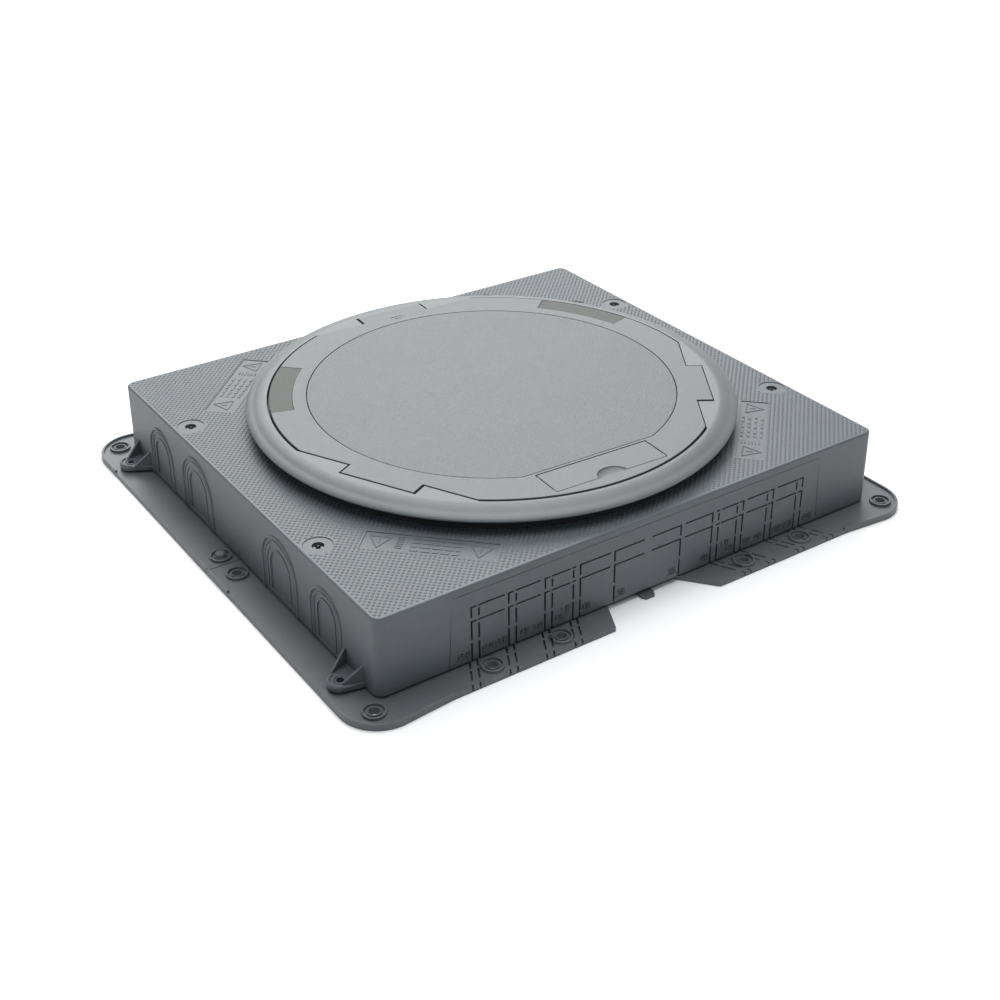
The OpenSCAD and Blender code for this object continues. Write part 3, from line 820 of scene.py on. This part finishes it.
def ringPiece():
    piece = shown(Form().lathe(ring["profile"], 240, ringFrame), "outletRing")
    # the lid lies a little off centre in its well
    aside = Matrix.Translation((*ring["aside"], 0)) @ ringFrame
    carve(piece, Form().slab(lambda i: lidOutline(0, ring["gaps"]), ring["ledge"], 90).moved(aside))
    windows, bosses, arms, holes = Form(), Form(), Form(), Form()
    for a in ring["claws"]:
        turn = ringFrame @ Matrix.Rotation(math.radians(a), 4, "Z")
        windows.block(*ring["window"], turn)
        first = len(bosses.points)
        bosses.drum((ring["clawRadius"], 0), *ring["clawBoss"], 40, 0.4).moved(turn, first)
        arms.block(*ring["clawArm"], turn)
        first = len(holes.points)
        holes.drum((ring["clawRadius"], 0), ring["clawBore"], 40, 70, 32).moved(turn, first)
    carve(piece, windows)
    add(piece, bosses)
    add(piece, arms)
    carve(piece, holes)
    return piece


finishPiece(ringPiece(), "outletRing", "ring", ringPlastic, ["outlet_ring"])

sealProfile = ((148.0, 55.0), (152.3, 55.0), (152.5, 55.6), (152.1, 56.6), (152.1, 61.8), (152.4, 62.6),
               (152.2, 63.2), (148.0, 63.2))
finishPiece(shown(Form().lathe(sealProfile, 192, ringFrame), "rimSeal"), "rimSeal", "ring",
            sealRubber, ["rim_seal"])


# Lid, inlay, foam and flap
def lidPiece():
    top, low = lid["top"], lid["low"]
    piece = shown(Form().slab(lidOutline, low, top, 0.3).moved(ringFrame), "lidPlate")
    seat = Form().slab(lambda i: inlayOutline(-lid["inlayGap"]), top - lid["inlayDeep"], top + 5)
    carve(piece, seat.moved(ringFrame))
    gap = lid["flapGap"]
    rest = Form().slab(lambda i: flapOutline(gap * 0.6), top - lid["flapThick"] - 0.2, top + 5)
    carve(piece, rest.moved(ringFrame))
    half = lid["flapHalf"] + gap
    way = Form().block((-half, half), (-lid["flapFar"] + 3, -lid["flapNear"] + gap), (low - 2, top + 5))
    carve(piece, way.moved(ringFrame))
    beds, holes = Form(), Form()
    for a in (30, 150):
        bed = sectorOutline(lid["foamNear"] - 0.15, lid["radius"] + 4, lid["foamHalf"] + 0.08, a)
        beds.slab(lambda i: bed, low - 1, top + 5)
    carve(piece, beds.moved(ringFrame))
    reach = lid["screwRadius"]
    for k in range(6):
        spot = (reach * math.cos(k * math.pi / 3), reach * math.sin(k * math.pi / 3))
        holes.drum(spot, 1.5, low - 1, low + 2.6, 24)
    carve(piece, holes.moved(ringFrame))
    pins = Form()
    for s in (-1, 1):
        rings = pinRings([s * x for x in lid["pinRun"]], 0.85)
        pins.loft(rings if s > 0 else [list(reversed(r)) for r in rings])
    carve(piece, pins.moved(ringFrame))
    # small sunk mark opposite the flap: a plain open bracket
    mark = Form()
    up = Vector((0, 0, 1))
    for line in (((-5.5, 127.4), (-3.8, 130.4), (3.8, 130.4), (5.5, 127.4)), ((-2.6, 127.6), (2.6, 127.6))):
        mark.ridge([Vector((x, y, top)) for x, y in line], up, 0.7, 0.22, 0.2)
    carve(piece, mark.moved(ringFrame))
    return piece


finishPiece(lidPiece(), "lidPlate", "lid", lidPlastic, ["lid"])
disc = Form().slab(inlayOutline, lid["top"] - lid["inlayThick"], lid["top"], 0.35)
finishPiece(shown(disc.moved(ringFrame), "inlayDisc"), "inlayDisc", "inlay", inlayPlastic,
            ["centre_inlay"])
for name, angle in (("left", 150), ("right", 30)):
    pad = Form().slab(lambda i: foamOutline(i, angle), lid["low"], lid["top"] - 0.05, 0.5)
    finishPiece(shown(pad.moved(ringFrame), "foam"), "foamPad_" + name, "lid", cableFoam,
                ["cable_foam_" + name])


def flapPiece():
    top = lid["top"]
    plate = Form().slab(lambda i: flapOutline(-i), top - lid["flapThick"], top, 0.3)
    piece = shown(plate.moved(ringFrame), "flap")
    scoop = Form()
    rings = []
    wide, deep, tall = lid["scoop"]
    around = [2 * math.pi * j / 48 for j in range(48)]
    for k in range(1, 16):
        t = math.pi * k / 16
        r, z = math.sin(t), math.cos(t)
        x, y = wide * r, deep * r
        rings.append([Vector((x * math.cos(s), -lid["flapFar"] + y * math.sin(s), top + tall * z))
                      for s in around])
    scoop.loft(list(reversed(rings)))
    carve(piece, scoop.moved(ringFrame))
    bore = Form().loft(pinRings((-60, 60), 0.8))
    carve(piece, bore.moved(ringFrame))
    return piece


finishPiece(flapPiece(), "flapPlate", "flap", lidPlastic, ["cable_flap"])


# Levelling screws with a cross recess
screw = {"head": 3.3, "shank": 2.95, "top": 53.1, "low": 8.0, "recess": (2.5, 0.8), "deep": 1.7, "pitch": 2.0}


def levellingScrew(spot):
    top, low, head = screw["top"], screw["low"], screw["head"]
    rings = [circle((0, 0), 1.9, low, 32), circle((0, 0), screw["shank"] - 0.35, low + 1.2, 32)]
    z = low + 1.6
    while z < 40:
        for r, dz in ((screw["shank"] - 0.45, 0.0), (screw["shank"], 0.5), (screw["shank"], 0.8),
                      (screw["shank"] - 0.45, 1.3)):
            rings.append(circle((0, 0), r, z + dz, 32))
        z += screw["pitch"]
    rings += [circle((0, 0), screw["shank"] - 0.02, z + 0.3, 32),
              circle((0, 0), screw["shank"] - 0.02, top - 2.2, 32)]
    crown = ((head - 0.2, top - 2.1), (head, top - 1.6), (head, top - 0.5), (head - 0.5, top))
    rings += [circle((0, 0), r, h, 32) for r, h in crown]
    piece = shown(Form().loft(rings), "screw")
    long, wide = screw["recess"]
    carve(piece, Form().block((-long, long), (-wide, wide), (top - screw["deep"], top + 1)))
    carve(piece, Form().block((-wide, wide), (-long, long), (top - screw["deep"], top + 1)))
    carve(piece, Form().drum((0, 0), 1.15, top - screw["deep"] - 0.3, top + 1, 24))
    shift = Matrix.Translation(Vector((*spot, 0)) * mm) @ Matrix.Rotation(math.radians(20), 4, "Z")
    piece.data.transform(shift)
    return piece


for i in range(1, 5):
    spot = ((-1 if i in (1, 3) else 1) * hood["screws"][0], (-1 if i <= 2 else 1) * hood["screws"][1])
    finishPiece(levellingScrew(spot), f"levellingScrew_{i}", f"screw_{i}", darkSteel,
                [f"levelling_screw_{i}"])

for node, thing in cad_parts.items():
    finish = steel
    if node.startswith("join_plate"):
        finish = basePlastic
    elif node == "thread_inserts":
        finish = brass
    elif node.startswith("claw_") and "screw" not in node:
        finish = zinc
    elif node == "lid_buffers":
        finish = sealRubber
    thing.data.materials.clear()
    thing.data.materials.append(finish)
print("frame parts painted")


# Camera, light and floor
camera = bpy.data.objects.new("camera", bpy.data.cameras.new("camera"))
bpy.context.scene.collection.objects.link(camera)
camera.data.lens = 53.27
camera.data.sensor_width = 36
camera.data.clip_start = 0.01
turn, rise = math.radians(-34.454), math.radians(31.046)
away = Vector((math.sin(turn) * math.cos(rise), -math.cos(turn) * math.cos(rise), math.sin(rise)))
camera.location = (-0.48658, -0.72315, 0.50721)
camera.rotation_euler = (-away).to_track_quat("-Z", "Y").to_euler()
bpy.context.scene.camera = camera


def softbox(name, where, size, power, target=(0, 0, 0.03)):
    lamp = bpy.data.objects.new(name, bpy.data.lights.new(name, "AREA"))
    lamp.data.shape = "RECTANGLE"
    lamp.data.size, lamp.data.size_y = size
    lamp.data.energy = power
    lamp.location = where
    lamp.rotation_euler = (Vector(target) - Vector(where)).to_track_quat("-Z", "Y").to_euler()
    bpy.context.scene.collection.objects.link(lamp)


softbox("backBox", (0.8, 1.7, 1.5), (2.2, 1.6), 53)
softbox("topBox", (0.1, 0.05, 1.9), (1.6, 1.6), 34)
softbox("sideBox", (-2.0, -0.3, 0.9), (1.2, 1.2), 1.2)

world = bpy.data.worlds.new("studio")
world.use_nodes = True
world.node_tree.nodes["Background"].inputs[0].default_value = (0.94, 0.97, 1.0, 1)
world.node_tree.nodes["Background"].inputs[1].default_value = 0.43
bpy.context.scene.world = world
bpy.context.scene.view_settings.view_transform = "Standard"

floorMesh = bpy.data.meshes.new("floor")
floorMesh.from_pydata([(-30, -30, 0), (30, -30, 0), (30, 30, 0), (-30, 30, 0)], [], [(0, 1, 2, 3)])
floor = bpy.data.objects.new("floor", floorMesh)
bpy.context.scene.collection.objects.link(floor)
floorLook, floorShader, _, floorPlace = newMaterial("paleFloor", Roughness=0.9, Specular_IOR_Level=0.0)
floorPlace.noise(3.0).tint((0.88, 0.88, 0.88), (0.91, 0.91, 0.91)).into(floorShader, "Base Color")
floorMesh.materials.append(floorLook)
